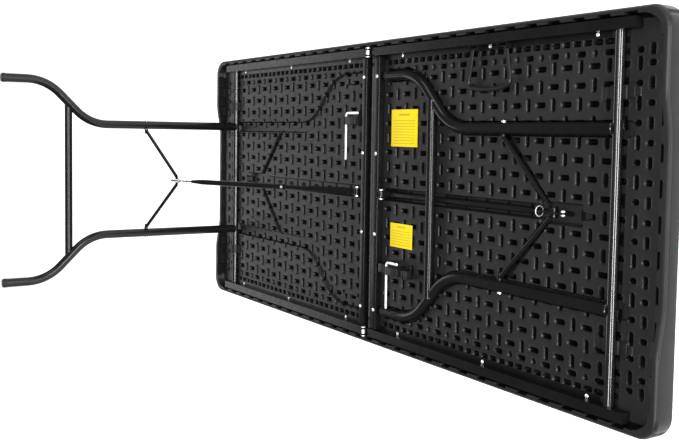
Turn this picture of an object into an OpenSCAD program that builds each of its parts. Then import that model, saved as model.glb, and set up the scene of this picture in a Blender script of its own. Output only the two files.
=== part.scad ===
// Folding table, centre fold, with two folding leg frames.
// Stored lying on its worktop: the underside faces +Z, the length runs along X.
// The left half is shown with its leg frame raised, the right half with it folded flat.

/* [Worktop] */
// length of one half of the worktop
half_length = 914; // [800:1:1000]
// width across the worktop
top_width = 762; // [700:1:800]
// height of the rim above the working face
rim_height = 45; // [40:0.5:50]
// width of the flat rim on the long sides
side_rim = 15; // [10:0.5:22]
// width of the flat rim on the short end
end_rim = 20; // [12:0.5:30]
// height of the recessed underside above the working face
field_height = 22; // [18:0.5:26]
// wall thickness of the hollow moulding
skin = 2.6; // [2:0.1:4]
// radius of the outer corners
corner_radius = 45; // [30:1:60]
// gap left between a half and the fold line
fold_gap = 0.8; // [0.4:0.1:2]

/* [Rails] */
// distance from the centre line to the outer face of a side rail
rail_outer = 364; // [350:0.5:368]
// width of a side rail
rail_width = 20; // [14:0.5:26]
// top of a side rail
rail_top = 43; // [36:0.5:44]
// distance from the fold to the near end of a side rail
rail_start = 14; // [12:1:30]
// distance from the fold to the far end of a side rail
rail_end = 838; // [820:1:860]
// sheet thickness of rails and brackets
sheet = 1.6; // [1.2:0.1:2.5]

/* [Hinge] */
// height of the fold axis above the working face
hinge_height = 46; // [45.5:0.1:50]
// distance from the centre line to the middle of a hinge pin
hinge_y = 353; // [340:1:360]
// diameter of a hinge pin
hinge_pin_d = 8; // [6:0.5:10]
// radius of the eye around a hinge pin
eye_radius = 8; // [7:0.5:12]

/* [Leg frame] */
// distance from the fold to the leg pivot
pivot_x = 793; // [780:1:830]
// height of the leg pivot above the working face
pivot_height = 28.2; // [26:0.1:32]
// diameter of the pivot tube
pivot_tube_d = 19; // [16:0.5:22]
// diameter of a leg tube
leg_tube_d = 25; // [20:0.5:25]
// wall of every tube
tube_wall = 1.4; // [1:0.1:2]
// distance from the centre line to the upper straight part of a leg tube
leg_y = 166; // [150:1:180]
// length of the upper straight part of a leg tube
leg_straight = 426; // [380:1:450]
// centre line radius of the two bends
bend_radius = 130; // [100:1:150]
// straight length between the two bends
bend_link = 72; // [40:1:90]
// distance from the pivot to the end of a foot
leg_reach = 732; // [690:1:745]
// diameter of the cross bar
crossbar_d = 22; // [18:0.5:23]
// distance from the pivot to the cross bar
crossbar_at = 541; // [515:1:560]
// distance from the pivot to the brace bolt
brace_at = 304; // [280:1:320]

/* [Brace] */
// distance from the fold to the bolt that holds the strut
strut_x = 55; // [52:1:70]
// height of that bolt
strut_height = 36; // [33:0.5:38]
// drop from that bolt to the centre line of the strut
strut_drop = 21; // [18:0.5:24]
// distance from the strut bolt to the brace joint, folded
joint_folded = 573; // [560:1:600]
// diameter of the strut sleeve
strut_d = 16; // [14:0.5:18]
// diameter of the sliding tube
slider_d = 15; // [14:0.5:15.5]
// diameter of the core rod
core_d = 11.4; // [10:0.2:12]
// length of the sleeve from the strut bolt
sleeve_end = 169; // [160:1:190]
// distance from the end of the sliding tube to its stop screw
stop_at = 6; // [5:0.5:20]
// distance from the strut bolt to the sliding tube, folded
outer_start = 171; // [170:1:262]
// diameter of a brace arm
arm_d = 10; // [9:0.5:13]
// distance from the centre line to the outer side of a brace arm
arm_reach = 153.2; // [145:0.1:153.2]
// outer diameter of the lock ring
ring_d = 23; // [20:0.5:23]
// wire of the lock ring
ring_wire = 2.1; // [1.5:0.1:2.4]

/* [Latches] */
// wire diameter of a leg latch
latch_wire = 4.6; // [3:0.1:4.8]
// height of the latch wire
latch_height = 43.3; // [42:0.1:43.4]
// width of a latch block
latch_block_w = 24; // [18:1:26]

/* [Carrying handle] */
// distance from the fold to the middle of the handle
handle_x = 443; // [400:1:480]
// length of the grip
grip_length = 146; // [120:1:160]
// distance from the handle pivot to the grip's outer side
handle_reach = 93; // [80:1:100]
// thickness of the handle
handle_thickness = 7; // [5:0.5:9]

/* [Hidden] */
$fn = 64;
half_width = top_width / 2;
well_y = half_width - side_rim;
rail_inner = rail_outer - rail_width;
rail_floor = field_height + 0.2;
rail_screw_x = [119, 435, 735];
floor_gap = 0.4;
tip = 0.01;
// groove floors in the underside
leg_groove_floor = pivot_height - leg_tube_d / 2 - 0.8;
strut_groove_floor = 3.2;
arm_groove_floor = 7.6;
// far end of the channel for the strut
groove_end = 722;
foot_groove_floor = 14.5;
pivot_groove_floor = 14.5;
// bent leg centre line in leg coordinates
bend_rise = bend_radius * (1 - cos(45));
bend_run = bend_radius * sin(45);
link_run = bend_link * cos(45);
link_start_u = leg_straight + bend_run;
link_start_v = leg_y + bend_rise;
foot_start_u = link_start_u + link_run + bend_run;
foot_v = link_start_v + link_run + bend_rise;
cap_length = 12;
tube_end = leg_reach - cap_length;
crossbar_lift = 34 - pivot_height;
crossbar_v = link_start_v + (crossbar_at - link_start_u);
// brace geometry in the plane across the fold
axis_height = strut_height - strut_drop;
joint_x = strut_x + joint_folded;
brace_folded_x = pivot_x - brace_at;
arm_run = joint_x - brace_folded_x;
arm_rise = pivot_height - axis_height;
arm_length = sqrt(arm_run * arm_run + arm_rise * arm_rise);
arm_slope = atan2(arm_rise, arm_run);
raised_dx = pivot_x - strut_x;
raised_dz = pivot_height + brace_at - strut_height;
raised_span = sqrt(raised_dx * raised_dx + raised_dz * raised_dz);
joint_raised = sqrt(raised_span * raised_span - strut_drop * strut_drop) - arm_length;
strut_angle = atan2(raised_dz, raised_dx) + asin(strut_drop / raised_span);
strut_slide = joint_raised - joint_folded;
ring_back_left = 21;
ring_back_right = 41;
// parts of the sliding tube, measured back from the brace joint
taper_start = 94;
taper_end = 53;
bar_tail = 30;
beam_near = 20;
beam_far = 43;
beam_top = 40;
latch_left_x = 101;
latch_right_x = 94;
latch_left_short = 55;
latch_right_short = 44;
latch_left_y = 203;
latch_right_y = 165;
handle_pivot_y = 336;
handle_pivot_z = 33;

// ---------- placing helpers ----------
module other_half() { mirror([1, 0, 0]) children(); }

module both_sides() {
  children();
  mirror([0, 1, 0]) children();
}

module leg_folded() { translate([-pivot_x, 0, pivot_height]) children(); }

module leg_raised() { translate([-pivot_x, 0, pivot_height]) rotate([0, -90, 0]) children(); }

module strut_folded() { translate([-strut_x, 0, strut_height]) children(); }

module strut_raised() { translate([-strut_x, 0, strut_height]) rotate([0, strut_angle, 0]) children(); }

module joint_place_folded() {
  strut_folded() translate([-joint_folded, 0, -strut_drop]) rotate([0, 180 - arm_slope, 0]) children();
}

module joint_place_raised() {
  strut_raised() translate([-joint_raised, 0, -strut_drop]) children();
}

module along_y(d, y0, y1) {
  translate([0, y0, 0]) rotate([-90, 0, 0]) cylinder(d = d, h = y1 - y0);
}

module along_x(d, x0, x1) {
  translate([x0, 0, 0]) rotate([0, 90, 0]) cylinder(d = d, h = x1 - x0);
}

module box(x0, x1, y0, y1, z0, z1) {
  translate([x0, y0, z0]) cube([x1 - x0, y1 - y0, z1 - z0]);
}

module flat_box(x0, x1, y0, y1) {
  translate([x0, y0]) square([x1 - x0, y1 - y0]);
}

// ---------- worktop halves ----------
module plan(inset) {
  r = corner_radius - inset;
  x0 = -half_length + inset;
  x1 = -fold_gap;
  y1 = half_width - inset;
  union() {
    flat_box(x0 + r, x1, -y1, y1);
    flat_box(x0, x1, -y1 + r, y1 - r);
    translate([x0 + r, y1 - r]) circle(r);
    translate([x0 + r, -y1 + r]) circle(r);
  }
}

// plan of the bent leg tube, seen from above, with the given full width
module leg_plan(w) {
  arc_outer = bend_radius + w / 2;
  arc_inner = bend_radius - w / 2;
  flat_box(-2, leg_straight + tip, leg_y - w / 2, leg_y + w / 2);
  translate([leg_straight, leg_y + bend_radius]) intersection() {
    difference() {
      circle(arc_outer);
      circle(arc_inner);
    }
    polygon([[0, 0], [0, -2 * arc_outer], [2 * arc_outer, -2 * arc_outer]]);
  }
  translate([link_start_u, link_start_v]) rotate(45) flat_box(-tip, bend_link + tip, -w / 2, w / 2);
  translate([foot_start_u, foot_v - bend_radius]) intersection() {
    difference() {
      circle(arc_outer);
      circle(arc_inner);
    }
    polygon([[0, 0], [0, 2 * arc_outer], [-2 * arc_outer, 2 * arc_outer]]);
  }
  flat_box(foot_start_u - tip, leg_reach + 6, foot_v - w / 2, foot_v + w / 2);
}

module leg_groove(grow) {
  both_sides() translate([-pivot_x, 0]) leg_plan(leg_tube_d + 4 + 2 * grow);
}

module pivot_groove(grow) {
  flat_box(-pivot_x - 14 - grow, -pivot_x + 14 + grow, -rail_inner - 5 - grow, rail_inner + 5 + grow);
}

module crossbar_groove(grow) {
  flat_box(-pivot_x + crossbar_at - 14 - grow, -pivot_x + crossbar_at + 14 + grow, -230, 230);
}

module strut_groove(grow) {
  flat_box(-joint_x + 30, -beam_near - 8 + grow, -13 - grow, 13 + grow);
  flat_box(-groove_end - grow, -joint_x + 30 + tip, -20 - grow, 20 + grow);
}

module arm_groove(grow) {
  both_sides() translate([-joint_x, 0])
    rotate(atan2(arm_reach - arm_d / 2, arm_run))
      flat_box(-6 - grow, norm([arm_run, arm_reach]) + 8 + grow, -9 - grow, 9 + grow);
}

module half_panel() {
  difference() {
    union() {
      linear_extrude(height = rim_height) plan(0);
    }
    // recessed underside
    translate([0, 0, field_height]) linear_extrude(height = rim_height) difference() {
      plan(side_rim);
      flat_box(-half_length - 1, -half_length + end_rim, -half_width, half_width);
    }
    // open edge along the fold
    box(-14, 1, -well_y, well_y, field_height - 6, rim_height + 1);
    // lowered middle of the end rim, room for the hand
    box(-half_length - 1, -half_length + end_rim + 1, -185, 185, rim_height - 12, rim_height + 1);
    // grooves for the folded leg frame
    translate([0, 0, leg_groove_floor]) linear_extrude(height = rim_height) leg_groove(0);
    translate([0, 0, pivot_groove_floor]) linear_extrude(height = rim_height) pivot_groove(0);
    translate([0, 0, field_height - 1.6]) linear_extrude(height = rim_height) crossbar_groove(0);
    translate([0, 0, strut_groove_floor]) linear_extrude(height = rim_height) strut_groove(0);
    translate([0, 0, arm_groove_floor]) linear_extrude(height = rim_height) arm_groove(0);
    // air space inside the moulding
    translate([0, 0, skin]) linear_extrude(height = field_height - 2 * skin - 1.6) difference() {
      intersection() {
        plan(side_rim + 1);
        flat_box(-half_length + end_rim + 1, -17, -half_width, half_width);
      }
      leg_groove(skin);
      pivot_groove(skin);
      strut_groove(skin);
      arm_groove(skin);
    }
    // air space inside the two long rims
    both_sides() box(-half_length + corner_radius + 4, -4, well_y + skin, half_width - skin,
      skin, rim_height - skin);
    // air space inside the end rim
    box(-half_length + skin, -half_length + end_rim - skin, -half_width + corner_radius + 4,
      half_width - corner_radius - 4, skin, rim_height - 12 - skin);
  }
}

module left_panel() { color("#37383b") half_panel(); }
module right_panel() { color("#37383b") other_half() half_panel(); }

// ---------- side rails ----------
// eye_y is the distance from the centre line to the inner face of the hinge eye
module side_rail(eye_y) {
  eye_t = 4;
  difference() {
    union() {
      difference() {
        box(-rail_end, -rail_start, rail_inner, rail_outer, rail_floor, rail_top);
        box(-rail_end + sheet, -rail_start - sheet, rail_inner + sheet, rail_outer - sheet,
          rail_floor - 1, rail_top - sheet);
      }
      // foot flange that the screws go through
      box(-rail_end + 70, -rail_start - 30, rail_inner - 11, rail_inner + tip,
        rail_floor, rail_floor + sheet);
      // plate that carries the hinge eye
      box(-60, -rail_start + tip, eye_y, eye_y + eye_t, rail_floor, rail_top);
      box(-rail_start, 0, eye_y, eye_y + eye_t, hinge_height - 9, hinge_height + 2);
      translate([0, 0, hinge_height]) along_y(2 * eye_radius, eye_y, eye_y + eye_t);
    }
    translate([0, 0, hinge_height]) along_y(hinge_pin_d + 0.16, eye_y - 1, eye_y + eye_t + 1);
    translate([-pivot_x, 0, pivot_height])
      along_y(pivot_tube_d + 0.16, rail_inner - 1, rail_inner + sheet + 1);
    for (x = rail_screw_x)
      translate([-x, rail_inner - 4, rail_floor - 1]) cylinder(d = 4.4, h = sheet + 2);
  }
}

left_eye = hinge_y + 6;
right_eye = hinge_y - 9;

module left_back_rail() { color("#232427") side_rail(left_eye); }
module left_front_rail() { color("#232427") mirror([0, 1, 0]) side_rail(left_eye); }
module right_back_rail() { color("#232427") other_half() side_rail(right_eye); }
module right_front_rail() { color("#232427") other_half() mirror([0, 1, 0]) side_rail(right_eye); }

module hinge_pins() {
  color("#d5d7da") both_sides() translate([0, 0, hinge_height]) {
    along_y(hinge_pin_d, right_eye - 0.4, left_eye + 4.4);
    along_y(hinge_pin_d + 4, right_eye - 2.4, right_eye - 0.4);
    along_y(hinge_pin_d + 4, left_eye + 4.4, left_eye + 6.4);
    along_y(hinge_pin_d + 1.5, right_eye + 4.5, left_eye - 0.5);
  }
}

// ---------- centre beams ----------
module centre_beam() {
  beam_y = rail_inner - 0.4;
  difference() {
    union() {
      difference() {
        box(-beam_far, -beam_near, -beam_y, beam_y, rail_floor, beam_top);
        box(-beam_far + sheet, -beam_near - sheet, -beam_y - 1, beam_y + 1, rail_floor - 1, beam_top - sheet);
      }
      box(-beam_far, -beam_near, -beam_y, -beam_y + sheet, rail_floor, beam_top);
      box(-beam_far, -beam_near, beam_y - sheet, beam_y, rail_floor, beam_top);
    }
    for (y = [-293, -101, 101, 293])
      translate([-30.5, y, beam_top - sheet - 1]) cylinder(d = 4.4, h = sheet + 2);
  }
}

module left_centre_beam() { color("#232427") centre_beam(); }
module right_centre_beam() { color("#232427") other_half() centre_beam(); }

// ---------- leg pivot ----------
module pivot_tube() {
  difference() {
    union() {
      along_y(pivot_tube_d, -rail_inner - 3, rail_inner + 3);
    }
    along_y(pivot_tube_d - 2 * tube_wall, -rail_inner - 4, rail_inner + 4);
  }
}

module left_pivot_tube() { color("#17181a") leg_raised() pivot_tube(); }
module right_pivot_tube() { color("#17181a") other_half() leg_folded() pivot_tube(); }

module saddle() {
  saddle_w = 26;
  both_sides() translate([-pivot_x, 232 - saddle_w / 2, 0]) {
    difference() {
      union() {
        box(-26, -20.4, 0, saddle_w, rail_floor, rail_floor + 3);
        box(20.4, 26, 0, saddle_w, rail_floor, rail_floor + 3);
        box(-21, 21, 0, saddle_w, rail_floor, pivot_height);
        translate([0, 0, pivot_height]) along_y(pivot_tube_d + 6, 0, saddle_w);
      }
      box(-40, 40, -1, saddle_w + 1, 0, rail_floor);
      translate([0, 0, pivot_height]) along_y(pivot_tube_d + 0.16, -1, saddle_w + 1);
      box(-pivot_tube_d / 2 - 0.08, pivot_tube_d / 2 + 0.08, -1, saddle_w + 1, 10, pivot_height);
    }
  }
}

module left_saddles() { color("#1d1e21") saddle(); }
module right_saddles() { color("#1d1e21") other_half() saddle(); }

// ---------- leg tubes ----------
// one bend, a hair thinner than the straights it runs into
module bend(d) {
  rotate([0, 0, -0.5]) rotate_extrude(angle = 46) translate([bend_radius, 0]) circle(d = d - 0.1);
}

module bent_rod(d, u0, u1) {
  translate([0, leg_y, 0]) along_x(d, u0, leg_straight);
  translate([leg_straight, leg_y + bend_radius, 0]) rotate([0, 0, -90]) bend(d);
  translate([link_start_u, link_start_v, 0]) rotate([0, 0, 45]) along_x(d, 0, bend_link);
  translate([foot_start_u, foot_v - bend_radius, 0]) rotate([0, 0, 90]) bend(d);
  translate([0, foot_v, 0]) along_x(d, foot_start_u, u1);
}

module leg_tube() {
  difference() {
    bent_rod(leg_tube_d, 3, tube_end);
    bent_rod(leg_tube_d - 2 * tube_wall, 2, tube_end + 1);
    along_y(pivot_tube_d + 0.1, leg_y - 20, leg_y + 20);
    translate([crossbar_at, 0, crossbar_lift]) along_y(crossbar_d + 0.1, 0, crossbar_v + 3.1);
    translate([brace_at, 0, 0]) along_y(6.1, leg_y - 20, leg_y + 20);
  }
}

module left_back_leg_tube() { color("#2a2b2e") leg_raised() leg_tube(); }
module left_front_leg_tube() { color("#2a2b2e") leg_raised() mirror([0, 1, 0]) leg_tube(); }
module right_back_leg_tube() { color("#2a2b2e") other_half() leg_folded() leg_tube(); }
module right_front_leg_tube() { color("#2a2b2e") other_half() leg_folded() mirror([0, 1, 0]) leg_tube(); }

module crossbar() {
  translate([crossbar_at, 0, crossbar_lift]) difference() {
    along_y(crossbar_d, -crossbar_v - 3, crossbar_v + 3);
    along_y(crossbar_d - 2 * tube_wall, -crossbar_v - 4, crossbar_v + 4);
  }
}

module left_crossbar() { color("#2a2b2e") leg_raised() crossbar(); }
module right_crossbar() { color("#2a2b2e") other_half() leg_folded() crossbar(); }

module foot_caps() {
  both_sides() translate([0, foot_v, 0]) {
    along_x(leg_tube_d + 0.8, tube_end + 0.05, leg_reach - 3);
    along_x(leg_tube_d - 3, leg_reach - 3 - tip, leg_reach);
    along_x(leg_tube_d - 2 * tube_wall - 0.3, tube_end - 18, tube_end + 1);
  }
}

module left_foot_caps() { color("#101112") leg_raised() foot_caps(); }
module right_foot_caps() { color("#101112") other_half() leg_folded() foot_caps(); }

// ---------- centre strut ----------
module strut_bracket() {
  difference() {
    union() {
      both_sides() box(-strut_x - 9, -beam_far - 0.3, 6.4, 9.4, 24, strut_height + 6);
      box(-beam_far - 2.3, -beam_far - 0.3, -9.4, 9.4, 24, strut_height + 6);
    }
    translate([-strut_x, 0, strut_height]) along_y(6.16, -20, 20);
  }
}

module left_strut_bracket() { color("#232427") strut_bracket(); }
module right_strut_bracket() { color("#232427") other_half() strut_bracket(); }

module strut_bolt() {
  translate([-strut_x, 0, strut_height]) {
    along_y(6, -11.4, 11.4);
    along_y(10, 9.8, 12.6);
    along_y(10, -12.6, -9.8);
  }
}

module left_strut_bolt() { color("#d5d7da") strut_bolt(); }
module right_strut_bolt() { color("#d5d7da") other_half() strut_bolt(); }

module strut_sleeve() {
  difference() {
    union() {
      box(-14, 7, -5.5, 5.5, -strut_drop - 3, 0);
      along_y(14, -5.5, 5.5);
      translate([0, 0, -strut_drop]) along_x(strut_d, -sleeve_end, -10);
    }
    along_y(6.16, -10, 10);
    translate([0, 0, -strut_drop]) along_x(core_d + 0.1, -sleeve_end - 1, -16);
    box(-20, 10, -8, 8, -strut_drop - 12, -strut_drop - 8);
  }
}

module left_strut_sleeve() { color("#26272a") strut_raised() strut_sleeve(); }
module right_strut_sleeve() { color("#26272a") other_half() strut_folded() strut_sleeve(); }

module strut_core() {
  core_end = outer_start + 150;
  translate([0, 0, -strut_drop]) along_x(core_d, -core_end, -17);
}

module left_strut_core() { color("#1a1b1d") strut_raised() strut_core(); }
module right_strut_core() { color("#1a1b1d") other_half() strut_folded() strut_core(); }

// stop screw, sliding tube and bar in strut coordinates, folded position
module stop_screw() {
  translate([-outer_start - stop_at, 0, -strut_drop]) {
    translate([0, 0, core_d / 2 + 0.4]) cylinder(d = 4, h = 3);
    translate([0, 0, slider_d / 2 + 0.05]) cylinder(d = 7, h = 1.8);
  }
}

module left_stop_screw() {
  color("#d5d7da") strut_raised() translate([-strut_slide, 0, 0]) stop_screw();
}
module right_stop_screw() { color("#d5d7da") other_half() strut_folded() stop_screw(); }

module sliding_tube() {
  translate([-joint_folded, 0, -strut_drop]) difference() {
    union() {
      along_x(slider_d, taper_start, joint_folded - outer_start);
      translate([taper_end, 0, 0]) rotate([0, 90, 0])
        cylinder(d1 = 9, d2 = slider_d, h = taper_start - taper_end);
    }
    along_x(core_d + 0.7, taper_start + 8, joint_folded - outer_start + 1);
    box(taper_end - 1, taper_end + 20.05, -2.05, 2.05, -3.05, 3.05);
    translate([joint_folded - outer_start - stop_at, 0, 0]) cylinder(d = 4.1, h = 12);
  }
}

module left_sliding_tube() {
  color("#26272a") strut_raised() translate([-strut_slide, 0, 0]) sliding_tube();
}
module right_sliding_tube() { color("#26272a") other_half() strut_folded() sliding_tube(); }

// flat bar that joins the sliding tube to the brace arms
module slider_bar() {
  translate([-joint_folded, 0, -strut_drop]) difference() {
    union() {
      box(taper_end - 0.5, taper_end + 20, -2, 2, -3, 3);
      box(-bar_tail, taper_end - 0.5 + tip, -2, 2, -5.5, 5.5);
    }
    along_y(4.16, -10, 10);
    translate([-bar_tail + 6, 0, 0]) along_y(4.1, -10, 10);
  }
}

module left_slider_bar() {
  color("#d5d7da") strut_raised() translate([-strut_slide, 0, 0]) slider_bar();
}
module right_slider_bar() { color("#d5d7da") other_half() strut_folded() slider_bar(); }

// one brace arm in joint coordinates, pointing along -X
module brace_arm() {
  lug = 10;
  arm_y1 = arm_reach - arm_d / 2;
  arm_angle = atan2(arm_y1 - 8, arm_length - 7);
  difference() {
    union() {
      box(-lug - 3, 0, 4.3, 7, -4, 4);
      along_y(8, 4.3, 7);
      intersection() {
        translate([-7, 8, 0]) rotate([0, 0, -arm_angle])
          along_x(arm_d, -norm([arm_length, arm_y1]) - 30, 10);
        box(-arm_length - 4, -lug, 4.3, arm_reach, -10, 10);
      }
      translate([-arm_length, 0, 0]) along_y(arm_d, arm_reach - 14, arm_reach);
    }
    along_y(4.16, 0, 10);
    translate([-arm_length, 0, 0]) along_y(6.4, arm_reach - 15, arm_reach + 1);
  }
}

module left_back_arm() { color("#26272a") joint_place_raised() brace_arm(); }
module left_front_arm() { color("#26272a") joint_place_raised() mirror([0, 1, 0]) brace_arm(); }
module right_back_arm() { color("#26272a") other_half() joint_place_folded() brace_arm(); }
module right_front_arm() { color("#26272a") other_half() joint_place_folded() mirror([0, 1, 0]) brace_arm(); }

module joint_bolt() {
  along_y(4, -8.2, 8.2);
  along_y(7, 7.1, 8.6);
  along_y(7, -8.6, -7.1);
  translate([-bar_tail + 6, 0, 0]) {
    along_y(4, -4, 4);
    along_y(8, 2.1, 4.2);
    along_y(8, -4.2, -2.1);
  }
}

module left_joint_bolt() { color("#d5d7da") joint_place_raised() joint_bolt(); }
module right_joint_bolt() {
  color("#d5d7da") other_half() strut_folded() translate([-joint_folded, 0, -strut_drop]) joint_bolt();
}

module lock_ring() {
  rotate([0, 90, 0]) rotate_extrude() translate([ring_d / 2 - ring_wire / 2, 0]) circle(d = ring_wire);
}

module left_lock_ring() {
  color("#d5d7da") strut_raised() translate([-joint_raised + ring_back_left, 0, -strut_drop]) lock_ring();
}
module right_lock_ring() {
  color("#d5d7da") other_half() strut_folded() translate([-joint_folded + ring_back_right, 0, -strut_drop])
    lock_ring();
}

module brace_bolts() {
  both_sides() translate([brace_at, 0, 0]) {
    along_y(6, leg_y - leg_tube_d / 2 + 0.3, leg_y + leg_tube_d / 2 + 1);
    along_y(10, leg_y + leg_tube_d / 2 + 0.1, leg_y + leg_tube_d / 2 + 3.4);
  }
}

module left_brace_bolts() { color("#d5d7da") leg_raised() brace_bolts(); }
module right_brace_bolts() { color("#d5d7da") other_half() leg_folded() brace_bolts(); }

// ---------- leg latches ----------
// wire lying along X on its axis, with the long arm pointing along +Y
module latch_shape(short, reach, hook) {
  bend = 6;
  along_x(latch_wire, 0, short - bend);
  translate([short - bend, bend, 0]) rotate([0, 0, -90])
    rotate_extrude(angle = 90) translate([bend, 0]) circle(d = latch_wire);
  translate([short, 0, 0]) along_y(latch_wire, bend, reach - bend);
  if (hook > 0) {
    translate([short - bend, reach - bend, 0])
      rotate_extrude(angle = 90) translate([bend, 0]) circle(d = latch_wire);
    translate([0, reach, 0]) along_x(latch_wire, short - bend - hook, short - bend);
  }
  if (hook == 0)
    translate([short, 0, 0]) along_y(latch_wire, reach - bend - tip, reach);
}

module left_latch_wire() {
  color("#d5d7da") translate([-latch_left_x + latch_left_short, latch_left_y, latch_height])
    rotate([0, 0, 180]) latch_shape(latch_left_short, 120, 0);
}

module right_latch_wire() {
  color("#d5d7da") translate([latch_right_x + latch_right_short, -latch_right_y, latch_height])
    rotate([0, 0, 180]) latch_shape(latch_right_short, 113, 0);
}

// block in the elbow of the wire, with two ears that hold it, on a longer base plate
module latch_block(x0, x1, axis_y, base0, base1) {
  ear = 7;
  y1 = axis_y - 6;
  y0 = y1 - latch_block_w;
  difference() {
    union() {
      box(base0, base1, y0 + 1, y1 - 1, rail_floor, 29);
      box(x0, x1, y0, y1, rail_floor, latch_height - 3);
      box(x0, x0 + ear, y1 - 1, axis_y + 4.6, rail_floor, latch_height + 1.7);
      box(x1 - ear, x1, y1 - 1, axis_y + 4.6, rail_floor, latch_height + 1.7);
    }
    translate([0, axis_y, latch_height]) along_x(latch_wire + 0.16, x0 - 1, x1 + 1);
    box(x0 - 1, x1 + 1, axis_y - 1.6, axis_y + 1.6, latch_height, latch_height + 9);
  }
}

module left_latch_block() {
  color("#3a3b3f")
    latch_block(-latch_left_x + 9, -latch_left_x + latch_left_short - 4, latch_left_y,
      -latch_left_x + 9, -46);
}
module right_latch_block() {
  color("#3a3b3f") translate([0, -2 * latch_right_y, 0])
    latch_block(latch_right_x + 7, latch_right_x + latch_right_short - 3, latch_right_y, 52, 158);
}

// ---------- screws ----------
module pan_screw(grip) {
  cylinder(d = 7.6, h = 2.4);
  translate([0, 0, -grip]) cylinder(d = 4, h = grip + tip);
}

module rail_screws() {
  both_sides() for (x = rail_screw_x)
    translate([-x, rail_inner - 4, rail_floor + sheet + 0.02]) pan_screw(sheet);
}

module left_rail_screws() { color("#d5d7da") rail_screws(); }
module right_rail_screws() { color("#d5d7da") other_half() rail_screws(); }

module beam_screws() {
  for (y = [-293, -101, 101, 293])
    translate([-30.5, y, beam_top + 0.02]) pan_screw(14);
}

module left_beam_screws() { color("#d5d7da") beam_screws(); }
module right_beam_screws() { color("#d5d7da") other_half() beam_screws(); }

// ---------- carrying handle ----------
module carrying_handle() {
  arm_w = 20;
  grip_w = 15;
  top_half = grip_length / 2 - 18;
  low_half = grip_length / 2;
  t = handle_thickness;
  color("#2b2c2f") translate([handle_x, handle_pivot_y, handle_pivot_z]) difference() {
    union() {
      translate([0, 0, -t / 2]) linear_extrude(height = t) difference() {
        union() {
          polygon([[-top_half, -2], [top_half, -2], [low_half, -handle_reach + 14],
            [low_half - 14, -handle_reach], [-low_half + 14, -handle_reach],
            [-low_half, -handle_reach + 14]]);
          translate([low_half - 14, -handle_reach + 14]) circle(14);
          translate([-low_half + 14, -handle_reach + 14]) circle(14);
        }
        polygon([[-top_half + arm_w, 4], [top_half - arm_w, 4],
          [low_half - arm_w - 4, -handle_reach + grip_w + 6],
          [low_half - arm_w - 10, -handle_reach + grip_w], [-low_half + arm_w + 10, -handle_reach + grip_w],
          [-low_half + arm_w + 4, -handle_reach + grip_w + 6]]);
      }
      translate([0, 0, 0]) along_x(t + 3, -top_half - 2, -top_half + arm_w + 2);
      translate([0, 0, 0]) along_x(t + 3, top_half - arm_w - 2, top_half + 2);
    }
    along_x(4.16, -top_half - 9, -top_half + arm_w + 9);
    along_x(4.16, top_half - arm_w - 9, top_half + 9);
  }
}

// two pairs of ears on one strip, held against the rail
module handle_bracket() {
  edge = grip_length / 2 - 18;
  strip = rail_inner - 0.1;
  color("#232427") difference() {
    union() {
      box(handle_x - edge - 5.6, handle_x + edge + 5.6, strip - 1.8, strip, rail_floor + 4.6, 39);
      for (x = [-edge - 5.6, -edge + 22.6, edge - 24.6, edge + 3.6])
        box(handle_x + x, handle_x + x + 2, handle_pivot_y - 6, strip - 1, rail_floor + 2.6, 39);
    }
    translate([handle_x, handle_pivot_y, handle_pivot_z]) along_x(4.16, -edge - 9, edge + 9);
  }
}

module handle_pins() {
  reach = grip_length / 2 - 18;
  color("#d5d7da") translate([handle_x, handle_pivot_y, handle_pivot_z]) {
    along_x(4, -reach - 6, -reach + 24);
    along_x(9, -reach - 7.5, -reach - 5.9);
    along_x(4, reach - 24, reach + 6);
    along_x(9, reach + 5.9, reach + 7.5);
  }
}

// ---------- plain labels ----------
module upper_label() { color("#d9b93c") box(77, 184, 120, 210, field_height + 0.05, field_height + 0.45); }
module lower_label() { color("#d9b93c") box(80, 171, -127, -68, field_height + 0.05, field_height + 0.45); }

left_panel();
right_panel();
left_front_rail();
left_back_rail();
right_front_rail();
right_back_rail();
left_centre_beam();
right_centre_beam();
hinge_pins();
left_pivot_tube();
right_pivot_tube();
left_saddles();
right_saddles();
left_front_leg_tube();
left_back_leg_tube();
right_front_leg_tube();
right_back_leg_tube();
left_crossbar();
right_crossbar();
left_foot_caps();
right_foot_caps();
left_strut_bracket();
right_strut_bracket();
left_strut_bolt();
right_strut_bolt();
left_strut_sleeve();
right_strut_sleeve();
left_strut_core();
right_strut_core();
left_stop_screw();
right_stop_screw();
left_sliding_tube();
right_sliding_tube();
left_slider_bar();
right_slider_bar();
left_front_arm();
left_back_arm();
right_front_arm();
right_back_arm();
left_joint_bolt();
right_joint_bolt();
left_lock_ring();
right_lock_ring();
left_brace_bolts();
right_brace_bolts();
left_latch_wire();
right_latch_wire();
left_latch_block();
right_latch_block();
left_rail_screws();
right_rail_screws();
left_beam_screws();
right_beam_screws();
carrying_handle();
handle_bracket();
handle_pins();
upper_label();
lower_label();
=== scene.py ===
import math

import bmesh
import bpy
import numpy as np
from mathutils import Matrix, Vector


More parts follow.
